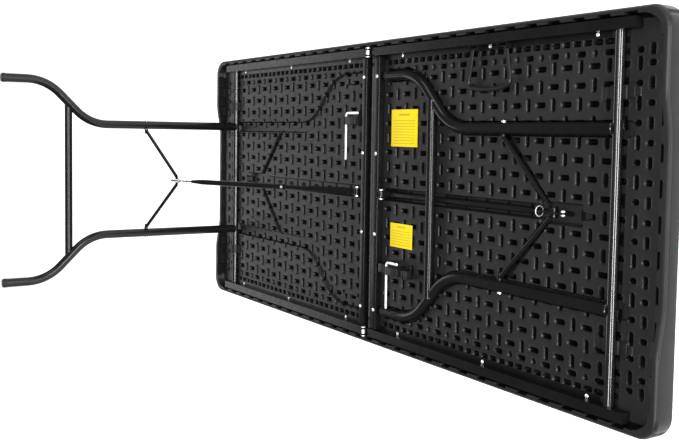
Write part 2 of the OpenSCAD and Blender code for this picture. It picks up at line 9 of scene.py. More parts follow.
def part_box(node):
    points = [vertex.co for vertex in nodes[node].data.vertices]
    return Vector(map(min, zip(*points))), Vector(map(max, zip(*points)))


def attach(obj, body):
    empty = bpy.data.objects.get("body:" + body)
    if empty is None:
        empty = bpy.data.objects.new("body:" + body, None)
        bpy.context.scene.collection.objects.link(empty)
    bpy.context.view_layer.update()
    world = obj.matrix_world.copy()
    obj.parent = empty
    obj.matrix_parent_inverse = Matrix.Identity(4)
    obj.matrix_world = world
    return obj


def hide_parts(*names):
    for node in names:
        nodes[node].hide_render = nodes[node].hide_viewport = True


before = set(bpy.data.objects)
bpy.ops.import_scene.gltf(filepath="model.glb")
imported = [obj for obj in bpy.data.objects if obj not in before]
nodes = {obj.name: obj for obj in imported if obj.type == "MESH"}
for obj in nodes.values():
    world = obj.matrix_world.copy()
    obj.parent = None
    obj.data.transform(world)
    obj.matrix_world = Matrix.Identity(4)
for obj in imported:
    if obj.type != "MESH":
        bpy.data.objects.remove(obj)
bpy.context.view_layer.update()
MM = 0.001
SIDES = (("left", -1), ("right", 1))


# ---------------------------------------------------------------- sizes
def low(node):
    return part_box(node)[0]


def high(node):
    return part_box(node)[1]


# u is the distance from the fold, along either half, and y goes across the table
half_length = -low("left_panel").x
fold_gap = -high("left_panel").x
half_width = high("left_panel").y
rim_top = high("left_panel").z
# the skin between the slots, just under the labels
field = low("upper_label").z - 0.05 * MM
rail_outer = high("left_back_rail").y
rail_inner = rail_outer - 20 * MM
pivot_x = -(low("left_pivot_tube").x + high("left_pivot_tube").x) / 2
pivot_z = (low("left_pivot_tube").z + high("left_pivot_tube").z) / 2
pivot_radius = (high("right_pivot_tube").x - low("right_pivot_tube").x) / 2

# one leg tube: straight from the pivot, two 45 degree bends with a link between them, then the foot
leg_radius = 12.5 * MM
leg_y = 166 * MM
leg_straight = 426 * MM
bend_radius = 130 * MM
bend_link = 72 * MM
leg_reach = 732 * MM
# the folded brace: its joint, the outer end of its arms, and the tail of its strut
joint_x = high("right_back_arm").x - 4 * MM
brace_x = low("right_back_arm").x + 5 * MM
arm_y = 148 * MM
strut_end = 722 * MM

# outline of a half
corner_radius = 45 * MM
edge_round = 9 * MM
well_y = half_width - 17 * MM
end_in = half_length - 22 * MM

# the weave of slots: first row's distance from the fold and pitch, which differ a little between the halves
weave = {-1: (62 * MM, 36.35 * MM), 1: (67 * MM, 34.85 * MM)}
pitch_y = 35.3 * MM
rows_each_side = 8
edge_row_y = 306 * MM
first_slot_u = 48 * MM
slot_half = 7.9 * MM
slot_radius = 6.3 * MM
slot_floor = 4.6 * MM
chamfer_width = 1.7 * MM
chamfer_drop = 2.8 * MM
wall_run = 0.6 * MM
lip_rise = 1.0 * MM

# the trough beside each rail, the pockets in the end rim and the sockets beside each pivot tube
trough_y = 326.5 * MM
trough_pitch = 27 * MM
trough_depth = 9 * MM
pocket_depth = 7 * MM
socket_y = 232 * MM
socket_half_u = 44 * MM
socket_half_y = 17 * MM
socket_rise = 1.6 * MM

# the rim: its scallops, its dip in the middle of each end, and the low strip along the fold
rim_run = 2.4 * MM
scallop_pitch = 62 * MM
side_scallop = 4.6 * MM
end_scallop = {-1: 1.5 * MM, 1: 5.5 * MM}
dip_depth = 12 * MM
strip_top = 16 * MM


# ---------------------------------------------------------------- materials
def new_material(name, base, roughness, metallic=0.0, coat=0.0, specular=0.36):
    mat = bpy.data.materials.new(name)
    mat.use_nodes = True
    tree = mat.node_tree
    shader = tree.nodes["Principled BSDF"]
    shader.inputs["Base Color"].default_value = (*base, 1)
    shader.inputs["Roughness"].default_value = roughness
    shader.inputs["Metallic"].default_value = metallic
    if not metallic:
        shader.inputs["Specular IOR Level"].default_value = specular
    if coat:
        shader.inputs["Coat Weight"].default_value = coat
        shader.inputs["Coat Roughness"].default_value = 0.12
    return mat, tree, shader


def add(tree, kind, **values):
    made = tree.nodes.new(kind)
    for key, value in values.items():
        if key in made.inputs:
            made.inputs[key].default_value = value
        else:
            setattr(made, key, value)
    return made


def noise(tree, scale, detail, rough=0.55):
    coord = add(tree, "ShaderNodeTexCoord")
    tex = add(tree, "ShaderNodeTexNoise", Scale=scale, Detail=detail, Roughness=rough)
    tree.links.new(coord.outputs["Object"], tex.inputs["Vector"])
    return tex.outputs["Fac"]


def remap(tree, source, lo, hi, a, b):
    made = add(tree, "ShaderNodeMapRange")
    made.inputs["From Min"].default_value = lo
    made.inputs["From Max"].default_value = hi
    made.inputs["To Min"].default_value = a
    made.inputs["To Max"].default_value = b
    tree.links.new(source, made.inputs["Value"])
    return made.outputs["Result"]


def from_noise(tree, source, a, b):
    """A noise's useful middle range, spread over a to b."""
    return remap(tree, source, 0.3, 0.7, a, b)


def colour_mix(tree, factor, first, second):
    made = add(tree, "ShaderNodeMix", data_type="RGBA")
    made.inputs[6].default_value = (*first, 1)
    made.inputs[7].default_value = (*second, 1)
    tree.links.new(factor, made.inputs[0])
    return made


def bump(tree, shader, height, strength, distance):
    made = add(tree, "ShaderNodeBump", Strength=strength, Distance=distance)
    tree.links.new(height, made.inputs["Height"])
    tree.links.new(made.outputs["Normal"], shader.inputs["Normal"])


def textured(name, dark, light, roughness, spread, grain, depth, patch=9.0, **finish):
    """A material with broad patches of tone, finer patches of gloss and a grained surface."""
    mat, tree, shader = new_material(name, dark, roughness, **finish)
    shade = from_noise(tree, noise(tree, patch, 5), 0, 1)
    tree.links.new(colour_mix(tree, shade, dark, light).outputs[2], shader.inputs["Base Color"])
    gloss = noise(tree, patch * 7, 6, 0.65)
    rough = from_noise(tree, gloss, roughness - spread, roughness + spread)
    tree.links.new(rough, shader.inputs["Roughness"])
    bump(tree, shader, noise(tree, grain, 3, 0.5), 0.35, depth)
    return mat


# moulded plastic of the halves
panel_mat = textured("panel_plastic", (0.0085, 0.0085, 0.0089), (0.0120, 0.0120, 0.0125),
                     0.46, 0.05, 900, 0.12 * MM)
# painted shade: a much darker, duller copy of the panel plastic for the insides of slots, pockets and
# troughs
slot_painted_shade_mat = textured("slot_painted_shade", (0.0015, 0.0015, 0.0016), (0.0028, 0.0028, 0.0030),
                    0.60, 0.05, 900, 0.12 * MM, specular=0.10)
skirt_mat = textured("skirt_plastic", (0.0045, 0.0045, 0.0047), (0.0070, 0.0070, 0.0073),
                     0.44, 0.05, 900, 0.12 * MM, specular=0.22)
# coated steel
frame_mat = textured("powder_coat_black", (0.0030, 0.0030, 0.0032), (0.0060, 0.0060, 0.0063),
                     0.30, 0.06, 650, 0.10 * MM, specular=0.20)
leg_mat = textured("powder_coat_grey", (0.0035, 0.0035, 0.0037), (0.0065, 0.0065, 0.0068),
                   0.21, 0.04, 650, 0.03 * MM, patch=6, specular=0.28)
gloss_mat = textured("gloss_enamel", (0.004, 0.004, 0.0042), (0.007, 0.007, 0.0074),
                     0.16, 0.04, 120, 0.05 * MM, coat=0.4, specular=0.50)
# bare and plated metal
white_wire_mat = textured("plated_wire", (0.90, 0.90, 0.91), (0.97, 0.97, 0.98),
                          0.30, 0.05, 400, 0.03 * MM, patch=60, metallic=0.2)
zinc_mat = textured("bright_zinc", (0.86, 0.87, 0.88), (0.96, 0.96, 0.97),
                    0.24, 0.06, 500, 0.04 * MM, patch=60, metallic=0.55)
steel_mat = textured("plain_steel", (0.30, 0.30, 0.31), (0.42, 0.42, 0.43),
                     0.34, 0.06, 500, 0.04 * MM, patch=60, metallic=1.0)
# small plastic and rubber parts
rubber_mat = textured("black_rubber", (0.004, 0.004, 0.004), (0.008, 0.008, 0.008),
                      0.62, 0.08, 1200, 0.12 * MM, patch=30)
block_mat = textured("latch_plastic", (0.0065, 0.0065, 0.0068), (0.010, 0.010, 0.0104),
                     0.40, 0.06, 900, 0.10 * MM, patch=30, specular=0.30)
handle_mat = textured("handle_plastic", (0.005, 0.005, 0.0053), (0.009, 0.009, 0.0094),
                      0.34, 0.06, 700, 0.12 * MM, patch=20)


def maths(tree, operation, first, second):
    made = add(tree, "ShaderNodeMath", operation=operation)
    for k, value in enumerate((first, second)):
        if isinstance(value, (int, float)):
            made.inputs[k].default_value = value
        else:
            tree.links.new(value, made.inputs[k])
    return made.outputs[0]


def within(tree, value, centre, reach):
    """1 where value is nearer to centre than reach."""
    away = maths(tree, "ABSOLUTE", maths(tree, "SUBTRACT", value, centre), 0)
    return maths(tree, "LESS_THAN", away, reach)


def label_material(name, node, rows):
    """Yellow paper with a short heading bar and rows of thin plain rules."""
    mat, tree, shader = new_material(name, (0.90, 0.66, 0.05), 0.45, specular=0.15)
    lo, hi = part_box(node)
    coord = add(tree, "ShaderNodeTexCoord")
    split = add(tree, "ShaderNodeSeparateXYZ")
    tree.links.new(coord.outputs["Object"], split.inputs[0])
    across = remap(tree, split.outputs["X"], lo.x, hi.x, 0, 1)
    up = remap(tree, split.outputs["Y"], lo.y, hi.y, 0, 1)
    phase = maths(tree, "FRACT", maths(tree, "MULTIPLY", up, float(rows)), 0)
    rule = maths(tree, "LESS_THAN", phase, 0.28)
    body = maths(tree, "MULTIPLY", maths(tree, "LESS_THAN", up, 0.74), maths(tree, "GREATER_THAN", up, 0.07))
    rules = maths(tree, "MULTIPLY", maths(tree, "MULTIPLY", rule, within(tree, across, 0.5, 0.40)), body)
    heading = maths(tree, "MULTIPLY", within(tree, across, 0.5, 0.20), within(tree, up, 0.86, 0.03))
    ink = maths(tree, "MULTIPLY", maths(tree, "MAXIMUM", rules, heading), 0.42)
    worn = noise(tree, 40, 5)
    yellow = colour_mix(tree, worn, (0.83, 0.61, 0.010), (0.90, 0.70, 0.018))
    printed = colour_mix(tree, ink, (0, 0, 0), (0.10, 0.08, 0.02))
    tree.links.new(yellow.outputs[2], printed.inputs[6])
    tree.links.new(printed.outputs[2], shader.inputs["Base Color"])
    tree.links.new(from_noise(tree, worn, 0.40, 0.52), shader.inputs["Roughness"])
    bump(tree, shader, worn, 0.2, 0.2 * MM)
    return mat


leg_words = ("leg_tube", "crossbar", "strut_sleeve", "strut_core", "sliding_tube", "_arm")


def material_for(name):
    if name.endswith("_label"):
        return label_material("label_" + name, name, 13 if name.startswith("upper") else 9)
    if "pivot_tube" in name:
        return gloss_mat
    if "foot_caps" in name:
        return rubber_mat
    if name.endswith("latch_block") or name.endswith("saddles"):
        return block_mat
    if name == "carrying_handle":
        return handle_mat
    # the right slider bar takes the black leg coat as painted shade, for its place deep in the groove; the
    # left one is plain steel
    if name.endswith("slider_bar"):
        return steel_mat if name.startswith("left") else leg_mat
    if name in ("right_joint_bolt", "handle_pins"):
        return gloss_mat
    if any(word in name for word in ("screw", "bolt", "pins", "ring", "latch_wire")):
        return zinc_mat
    if any(word in name for word in leg_words):
        return leg_mat
    if name.endswith("_panel"):
        return panel_mat
    return frame_mat


for name, obj in nodes.items():
    obj.data.materials.clear()
    obj.data.materials.append(material_for(name))


# ---------------------------------------------------------------- worktop halves
def smooth(lo, hi, value):
    t = np.clip((value - lo) / (hi - lo), 0, 1)
    return t * t * (3 - 2 * t)


def leg_path():
    """Centre line of one folded leg tube, in u and y."""
    bend = math.pi / 4
    steps = 24
    points = [(s, leg_y) for s in np.linspace(-20 * MM, leg_straight, 60)]
    for a in np.linspace(0, bend, steps):
        points.append((leg_straight + bend_radius * math.sin(a), leg_y + bend_radius * (1 - math.cos(a))))
    s, y = points[-1]
    points += [(s + f * math.cos(bend), y + f * math.sin(bend)) for f in np.linspace(0, bend_link, 16)]
    s, y = points[-1]
    for a in np.linspace(bend, 0, steps):
        points.append((s + bend_radius * (math.sin(bend) - math.sin(a)),
                       y + bend_radius * (math.cos(a) - math.cos(bend))))
    s, y = points[-1]
    points += [(f, y) for f in np.linspace(s, leg_reach + 6 * MM, 16)]
    path = np.array(points)
    path[:, 0] = pivot_x - path[:, 0]
    return path


def distance_to_path(path, u, y):
    best = np.full(u.shape, half_length)
    for (u0, y0), (u1, y1) in zip(path[:-1], path[1:]):
        du, dy = u1 - u0, y1 - y0
        n = du * du + dy * dy
        if n < 1e-12:
            continue
        t = np.clip(((u - u0) * du + (y - y0) * dy) / n, 0, 1)
        best = np.minimum(best, np.hypot(u - u0 - t * du, y - y0 - t * dy))
    return best


def box_distance(u, y, u0, u1, y0, y1):
    du = np.maximum(np.maximum(u0 - u, u - u1), 0)
    dy = np.maximum(np.maximum(y0 - y, y - y1), 0)
    return np.hypot(du, dy)


leg_line = leg_path()
arm_line = np.array([(joint_x - 6 * MM, 10 * MM), (brace_x + 6 * MM, arm_y)])


def grooves(u, y):
    """Distance to each groove's edge and the height of its floor."""
    a = np.abs(y)
    strut_floor = 3.4 * MM
    wide_start, wide_end = joint_x - 30 * MM, strut_end - 14 * MM
    return [
        (distance_to_path(leg_line, u, a) - 13.4 * MM, pivot_z - leg_radius - 1.2 * MM),
        (distance_to_path(arm_line, u, a) - 6.4 * MM, 5.4 * MM),
        (box_distance(u, a, 28 * MM, wide_start, 0, 13 * MM), strut_floor),
        (box_distance(u, a, wide_start, wide_end, 0, 20 * MM), strut_floor),
        (box_distance(u, a, wide_end, strut_end, 0, 6 * MM), strut_floor),
        (box_distance(u, a, pivot_x - 14 * MM, pivot_x + 14 * MM, 0, rail_inner), 13.5 * MM),
    ]


def slot_distance(u, y, sign):
    """Signed distance to the nearest slot's edge, and the u of the slot's centre."""
    first, pitch_x = weave[sign]
    ci = np.round((u - first) / pitch_x)
    cj = np.round(y / pitch_y)
    cj = np.where(np.abs(y) > (rows_each_side + 0.36) * pitch_y, np.sign(y) * (rows_each_side + 1), cj)
    cu = first + ci * pitch_x
    edge_row = np.abs(cj) > rows_each_side
    cy = np.where(edge_row, np.sign(cj) * edge_row_y, cj * pitch_y)
    upright = np.mod(ci + cj, 2) < 0.5
    # slots are shorter in the last row, and between the pivot tube and the end
    beyond = cu > pivot_x + 15 * MM
    reach = np.full(u.shape, slot_half)
    reach = np.where(edge_row & upright, 0.6 * MM, reach)
    reach = np.where(edge_row & ~upright, slot_half - 2 * MM, reach)
    reach = np.where(beyond & ~upright, 2.2 * MM, reach)
    reach = np.where(beyond & upright & (cu > pivot_x + 60 * MM), 5.5 * MM, reach)
    cu = np.where(cu > end_in - 32 * MM, cu - 7 * MM, cu)
    du, dy = np.abs(u - cu), np.abs(y - cy)
    flat = np.hypot(np.maximum(du - reach, 0), dy)
    tall = np.hypot(du, np.maximum(dy - reach, 0))
    return np.where(upright, tall, flat) - slot_radius, cu


def scallops(along, start):
    """1 over each scallop of a rim and 0 between them."""
    return smooth(-0.12, 0.12, np.sin(2 * math.pi * (along - start) / scallop_pitch))


def rim_edges(u, y, sign):
    """Inner edges of the long rim and of the end rim, scalloped where they meet the well."""
    side_edge = half_width - 16.5 * MM + side_scallop * scallops(u, 6 * MM)
    end_edge = end_in - 1 * MM + end_scallop[sign] * scallops(y, -15 * MM)
    return side_edge, end_edge


def past_corner(u, y, radius):
    """How far a point is past the start of the corner's round, along and across."""
    return u - (half_length - radius), np.abs(y) - (half_width - radius)


def height(u, y, sign):
    """Height of the underside at each point."""
    a = np.abs(y)
    slot, cu = slot_distance(u, y, sign)
    side_edge, end_edge = rim_edges(u, y, sign)
    z = np.full(u.shape, field)
    for edge, floor in grooves(u, y):
        z = np.minimum(z, floor + (field - floor) * smooth(0, rim_run, edge))
    on_skin = z > field - 1.5 * MM
    # a slot is cut short where a deep groove crosses it
    open_slot = (z > slot_floor + 5 * MM) & (cu > first_slot_u) & (cu < end_in - 4 * MM)
    chamfer = z - chamfer_drop * np.clip(-slot / chamfer_width, 0, 1)
    cut = slot_floor + (chamfer - slot_floor) * smooth(-chamfer_width - wall_run, -chamfer_width, slot)
    z = np.where(open_slot, np.minimum(cut, z), z)
    # each slot's lip stands a little above the skin
    lip = (1 - smooth(0.8 * MM, 3.4 * MM, slot)) * smooth(-0.5 * MM, 0.4 * MM, slot)
    z = np.where(open_slot & on_skin, z + lip_rise * lip, z)
    # a trough with cross ribs runs along the inside of each rail
    rib = smooth(-0.75, -0.35, np.sin(2 * math.pi * u / trough_pitch))
    trough = (1 - smooth(3.4 * MM, 5.0 * MM, np.abs(a - trough_y))) * rib
    trough = trough * (u > 50 * MM) * (u < pivot_x - 20 * MM)
    z = np.where(z > field - 1.5 * MM, z - trough_depth * trough, z)
    # pockets along the inside of the end rim
    scalloped = (end_edge > end_in + 1 * MM) & (a < half_width - 60 * MM)
    pocket = (u > end_in - 6 * MM) & (u < end_edge) & scalloped
    z = np.where(pocket, field - pocket_depth, z)
    # clip sockets on both sides of the pivot tube
    socket = np.maximum(np.abs(u - pivot_x) - socket_half_u, np.abs(a - socket_y) - socket_half_y)
    ridge = 1 - smooth(0.6 * MM, 1.8 * MM, np.abs(socket))
    z = np.where(z > field - 1.5 * MM, z + socket_rise * ridge, z)
    # rim, with scallops along its inner side and a dip in the middle of the end
    dip = (1 - smooth(140 * MM, 240 * MM, a)) * smooth(end_in - 34 * MM, end_in - 4 * MM, u)
    qu, qy = past_corner(u, y, 60 * MM)
    corner = np.where((qu > 0) & (qy > 0), np.hypot(qu, qy), 0)
    past_rim = np.maximum(np.maximum(a - side_edge, u - end_edge), corner - 43 * MM)
    z = z + (rim_top - dip_depth * dip - z) * smooth(0, rim_run, past_rim)
    # low strip along the fold
    strip = 1 - smooth(14 * MM, 17 * MM, u)
    z = np.where(a < well_y, z + (strip_top - z) * strip * (z > strip_top), z)
    # rounded outer edge
    qu, qy = past_corner(u, y, corner_radius)
    to_edge = np.minimum(half_length - u, half_width - a)
    inside = np.where((qu > 0) & (qy > 0), corner_radius - np.hypot(qu, qy), to_edge)
    q = np.clip(edge_round - np.maximum(inside, 0), 0, edge_round)
    return z - (edge_round - np.sqrt(np.maximum(edge_round ** 2 - q ** 2, 0)))


def spread(centres, offsets, lo, hi, extra, gap):
    """Grid lines that follow the slots' edges, with no gap wider than gap."""
    lines = [lo, hi] + list(extra)
    for c in centres:
        lines += [c + s * o for o in offsets for s in (-1, 1) if lo < c + s * o < hi]
    lines = sorted(v for v in lines if lo <= v <= hi)
    kept = [lines[0]]
    for value in lines[1:]:
        if value - kept[-1] < 0.35 * MM:
            continue
        pieces = int(math.ceil((value - kept[-1]) / gap - 1e-6))
        start = kept[-1]
        kept += [start + (value - start) * (k + 1) / pieces for k in range(pieces)]
    kept[-1] = hi
    return np.array(kept)


def grid_lines(sign):
    """Where the mesh's lines lie along a half and across it."""
    gap = 2.4 * MM
    first, pitch_x = weave[sign]
    r = slot_radius
    edge = [r - chamfer_width - wall_run, r - chamfer_width, r - chamfer_width / 2, r]
    offsets = [0] + edge + [slot_half + v for v in edge]
    rim = [v * MM for v in (0.6, 1.4, 2.6, 4.2, 6.2, 9.0)]
    columns = [first + k * pitch_x for k in range(24)]
    rows = [k * pitch_y for k in range(-rows_each_side, rows_each_side + 1)] + [-edge_row_y, edge_row_y]
    ends = [half_length - v for v in rim]
    sides = [s * (half_width - v) for v in rim for s in (-1, 1)]
    us = spread(columns, offsets, fold_gap, half_length, ends, gap)
    ys = spread(rows, offsets, -half_width, half_width, sides, gap)
    return us, ys


def to_outline(u, y):
    """Moves points of the square corner onto the rounded outline."""
    qu, qy = past_corner(u, y, corner_radius)
    d = np.hypot(np.maximum(qu, 0), np.maximum(qy, 0))
    outside = (qu > 0) & (qy > 0) & (d > corner_radius)
    k = np.where(outside, corner_radius / np.maximum(d, 1e-9), 1)
    u = np.where(outside, half_length - corner_radius + qu * k, u)
    a = np.where(outside, half_width - corner_radius + qy * k, np.abs(y))
    return u, np.where(y < 0, -a, a)


# the skirt below the rim: how far each ring is drawn in, and its height
skirt_profile = ((0.0, 5 * MM), (0.6 * MM, 2.4 * MM), (2.0 * MM, 0.7 * MM), (4.4 * MM, 0.0))


def skirt_ring(outline, sign, inset, level):
    """The outline, drawn in by inset and moved to a level."""
    u, y = np.abs(outline[:, 0]), outline[:, 1]
    out_u = np.where(u > half_length - 1e-6, 1.0, 0.0) + np.where(u < fold_gap + 1e-6, -1.0, 0.0)
    out_y = np.where(np.abs(y) > half_width - 1e-6, np.sign(y), 0.0)
    qu, qy = past_corner(u, y, corner_radius)
    on_corner = (qu > 0) & (qy > 0)
    out_u = np.where(on_corner, qu / corner_radius, out_u)
    out_y = np.where(on_corner, np.sign(y) * qy / corner_radius, out_y)
    return np.stack([sign * (u - inset * out_u), y - inset * out_y, np.full(len(u), level)], -1)


def face_materials(verts, faces, u, y, z, sign):
    """0 for the skin, 1 for the insides of slots, pockets and troughs, painted dark as shade, 2 for the
    outer skirt.
    """
    slot, cu = slot_distance(u, y, sign)
    side_edge, end_edge = rim_edges(u, y, sign)
    a = np.abs(y)
    off_corner = a < half_width - 50 * MM
    # painted shade: slot insides, the pockets beside the rails and in the end rim, the troughs, and on the
    # left half a band along the end rim's inner edge take the dark material
    deep = (slot < 0.1 * MM - chamfer_width) & (z < field - 2.4 * MM) & (cu > first_slot_u)
    deep |= (a > rail_outer - 2 * MM) & (a < side_edge + 1.4 * MM) & (z < rim_top - 8 * MM)
    deep |= (u > end_in - 8 * MM) & (u < end_edge + 0.5 * MM) & off_corner & (z < field - 1 * MM)
    if sign < 0:
        deep |= (u > end_edge - 1 * MM) & (u < end_edge + 3 * MM) & off_corner
    deep |= (np.abs(a - trough_y) < 5.2 * MM) & (z < field - 3 * MM)
    deep = np.concatenate([deep.ravel(), np.zeros(len(verts) - deep.size, dtype=bool)])
    inner = deep[faces].sum(axis=1) >= 2
    # the skirt is smoother and darker than the ribbed underside
    reach = np.minimum(half_length - np.abs(verts[:, 0]), half_width - np.abs(verts[:, 1]))
    skirt = (reach[faces].max(axis=1) < 6.5 * MM) & (verts[:, 2][faces].min(axis=1) < rim_top - 3 * MM)
    return np.append(np.where(inner, 1, np.where(skirt, 2, 0)), 2)


def link(name, mesh):
    obj = bpy.data.objects.new(name, mesh)
    bpy.context.scene.collection.objects.link(obj)
    return obj


def half_mesh(name, sign):
    """One half: the shaped underside, the skirt around it and the flat working face as one last polygon."""
    us, ys = grid_lines(sign)
    u, y = to_outline(*np.meshgrid(us, ys, indexing="ij"))
    z = height(u, y, sign)
    top = np.stack([sign * u, y, z], -1).reshape(-1, 3)
    index = np.arange(len(top)).reshape(u.shape)
    quads = np.stack([index[:-1, :-1], index[1:, :-1], index[1:, 1:], index[:-1, 1:]], -1).reshape(-1, 4)
    # the outline in order, and the rings below it
    loop = np.concatenate([index[:-1, 0], index[-1, :-1], index[:0:-1, -1], index[0, :0:-1]])
    below = [skirt_ring(top[loop], sign, inset, level) for inset, level in skirt_profile]
    verts = np.concatenate([top, *below])
    rings = [loop] + [len(top) + k * len(loop) + np.arange(len(loop)) for k in range(len(below))]
    walls = [np.stack([a, b, np.roll(b, -1), np.roll(a, -1)], -1) for a, b in zip(rings[:-1], rings[1:])]
    faces = np.concatenate([quads, *walls])
    cap = rings[-1][::-1]
    if sign < 0:
        faces, cap = faces[:, ::-1], cap[::-1]
    mesh = bpy.data.meshes.new(name)
    mesh.vertices.add(len(verts))
    mesh.vertices.foreach_set("co", verts.astype(np.float32).ravel())
    corners = np.concatenate([faces.ravel(), cap]).astype(np.int32)
    mesh.loops.add(len(corners))
    mesh.loops.foreach_set("vertex_index", corners)
    mesh.polygons.add(len(faces) + 1)
    mesh.polygons.foreach_set("loop_start", (np.arange(len(faces) + 1) * 4).astype(np.int32))
    mesh.update(calc_edges=True)
    mesh.validate()
    smooth_faces = np.ones(len(mesh.polygons), dtype=bool)
    smooth_faces[-1] = False
    mesh.polygons.foreach_set("use_smooth", smooth_faces)
    mesh.set_sharp_from_angle(angle=math.radians(35))
    mesh.update()
    for mat in (panel_mat, slot_painted_shade_mat, skirt_mat):
        mesh.materials.append(mat)
    kinds = face_materials(verts, faces, u, y, z, sign)
    mesh.polygons.foreach_set("material_index", kinds.astype(np.int32))
    return link(name, mesh)


for side, sign in SIDES:
    piece = half_mesh(side + "_worktop_half", sign)
    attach(piece, side + "_half")
    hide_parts(side + "_panel")


# ---------------------------------------------------------------- mesh helpers
def from_bmesh(name, made, material, body, smooth_angle=40):
    mesh = bpy.data.meshes.new(name)
    made.to_mesh(mesh)
    made.free()
    mesh.polygons.foreach_set("use_smooth", np.ones(len(mesh.polygons), dtype=bool))
    mesh.set_sharp_from_angle(angle=math.radians(smooth_angle))
    mesh.materials.append(material)
    obj = link(name, mesh)
    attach(obj, body)
    return obj


def box_of(points):
    return tuple(Vector([pick(p[k] for p in points) for k in range(3)]) for pick in (min, max))


def islands(name):
    """The box of each separate solid of a node."""
    made = bmesh.new()
    made.from_mesh(nodes[name].data)
    bmesh.ops.remove_doubles(made, verts=made.verts, dist=1e-6)
    left = set(made.verts)
    boxes = []
    while left:
        queue = [left.pop()]
        points = []
        while queue:
            vert = queue.pop()
            points.append(vert.co.copy())
            for edge in vert.link_edges:
                other = edge.other_vert(vert)
                if other in left:
                    left.remove(other)
                    queue.append(other)
        boxes.append(box_of(points))
    made.free()
    return sorted(boxes, key=lambda pair: tuple(pair[0]))


def block(made, lo, hi, edge):
    """Adds a box with rounded edges."""
    found = bmesh.ops.create_cube(made, size=1)["verts"]
    lo, hi = Vector(lo), Vector(hi)
    for vert in found:
        vert.co = Vector([(lo[k] + hi[k]) / 2 + vert.co[k] * (hi[k] - lo[k]) for k in range(3)])
    edges = list({e for v in found for e in v.link_edges})
    bmesh.ops.bevel(made, geom=edges, offset=edge, segments=3, profile=0.5, affect="EDGES")


def join_rings(made, first, second):
    """Adds a band of faces between two rings of points."""
    count = len(first)
    for s in range(count):
        t = (s + 1) % count
        made.faces.new((first[s], first[t], second[t], second[s]))


def screw_head(made, x, y, z, radius, rise):
    """Adds a domed head with a cross recess."""
    rings, sides = 7, 24
    last = None
    for k in range(rings):
        f = 1 - k / rings
        ring = []
        for s in range(sides):
            angle = 2 * math.pi * s / sides
            px, py = radius * f * math.cos(angle), radius * f * math.sin(angle)
            level = rise * math.sqrt(1 - (0.97 * f) ** 2)
            near, far = sorted((abs(px), abs(py)))
            if near < 0.17 * radius and far < 0.56 * radius:
                level -= 0.45 * rise
            ring.append(made.verts.new((x + px, y + py, z + level)))
        if last is None:
            last = [made.verts.new((v.co.x, v.co.y, z - 0.6 * MM)) for v in ring]
        join_rings(made, last, ring)
        last = ring
    centre = made.verts.new((x, y, z + 0.5 * rise))
    for s in range(sides):
        made.faces.new((last[s], last[(s + 1) % sides], centre))


def tube(made, points, radius, sides=14):
    """Adds a round tube with closed, rounded ends along the points."""
    points = [Vector(p) for p in points]
    rows = []
    side = None
    for k, p in enumerate(points):
        ahead = (points[min(k + 1, len(points) - 1)] - points[max(k - 1, 0)]).normalized()
        if side is None:
            side = ahead.orthogonal().normalized()
        side = (side - ahead * side.dot(ahead)).normalized()
        rows.append((p, ahead, side, ahead.cross(side), radius))
    # each end has two smaller rings beyond it
    tips = ((0.45, 0.54), (0.8, 0.36))
    start, stop = [], []
    for share, out in tips:
        for found, (p, ahead, u, v, r), way in ((start, rows[0], -1), (stop, rows[-1], 1)):
            found.append((p + ahead * (way * r * out), ahead, u, v, r * share))
    last = None
    for centre, _, u, v, r in start + rows + stop[::-1]:
        angles = [2 * math.pi * s / sides for s in range(sides)]
        ring = [made.verts.new(centre + u * r * math.cos(a) + v * r * math.sin(a)) for a in angles]
        if last:
            join_rings(made, last, ring)
        else:
            made.faces.new(ring[::-1])
        last = ring
    made.faces.new(last)


def hook_path(corner, along_x, along_y, bend):
    """A right-angled wire: from along_x in line with the corner, round the bend, to along_y."""
    cx, cy, cz = corner
    sx = 1 if along_x > cx else -1
    sy = 1 if along_y > cy else -1
    steps = 8
    points = [(along_x, cy, cz)]
    for k in range(steps + 1):
        angle = math.pi / 2 * k / steps
        points.append((cx + sx * bend * (1 - math.sin(angle)), cy + sy * bend * (1 - math.cos(angle)), cz))
    return points + [(cx, along_y, cz)]


def curve_through(knots, steps):
    """A smooth curve through the knots."""
    points = []
    for k in range(len(knots) - 1):
        before, p, q = knots[max(k - 1, 0)], knots[k], knots[k + 1]
        after = knots[min(k + 2, len(knots) - 1)]
        for f in (step / steps for step in range(steps)):
            square = (2 * before - 5 * p + 4 * q - after) * f * f
            cube = (3 * p - before - 3 * q + after) * f ** 3
            points.append(0.5 * (2 * p + (q - before) * f + square + cube))
    return points + [knots[-1]]


# ---------------------------------------------------------------- small parts
# labels: thin cards that lie a little clear of the slots' lips
for name in ("upper_label", "lower_label"):
    lo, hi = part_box(name)
    made = bmesh.new()
    block(made, (lo.x, lo.y, field + 0.9 * MM), (hi.x, hi.y, field + 1.5 * MM), 0.2 * MM)
    card = from_bmesh(name + "_card", made, nodes[name].data.materials[0], "right_half")
    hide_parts(name)

# fold beams with rounded edges; the left one stands nearer the fold than its solid
for side, shift in (("left", 10 * MM), ("right", 0)):
    lo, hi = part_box(side + "_centre_beam")
    made = bmesh.new()
    block(made, (lo.x + shift, lo.y, lo.z), (hi.x + 0.7 * shift, hi.y, hi.z), 2.4 * MM)
    beam = from_bmesh(side + "_fold_beam", made, frame_mat, side + "_half")
    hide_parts(side + "_centre_beam")

# screw heads: the beams' screws sit on top of the fold beams
head_rise = 2.6 * MM
beam_shift = {"left": 5.5 * MM, "right": 4 * MM}
for side, _ in SIDES:
    for kind in ("rail_screws", "beam_screws"):
        node = side + "_" + kind
        made = bmesh.new()
        for lo, hi in islands(node):
            x, z = (lo.x + hi.x) / 2, hi.z - 3.4 * MM
            if kind == "beam_screws":
                x, z = x + beam_shift[side], high("right_centre_beam").z
            screw_head(made, x, (lo.y + hi.y) / 2, z, 0.6 * (hi.x - lo.x), head_rise)
        heads = from_bmesh(node + "_heads", made, zinc_mat, side + "_half")
        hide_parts(node)

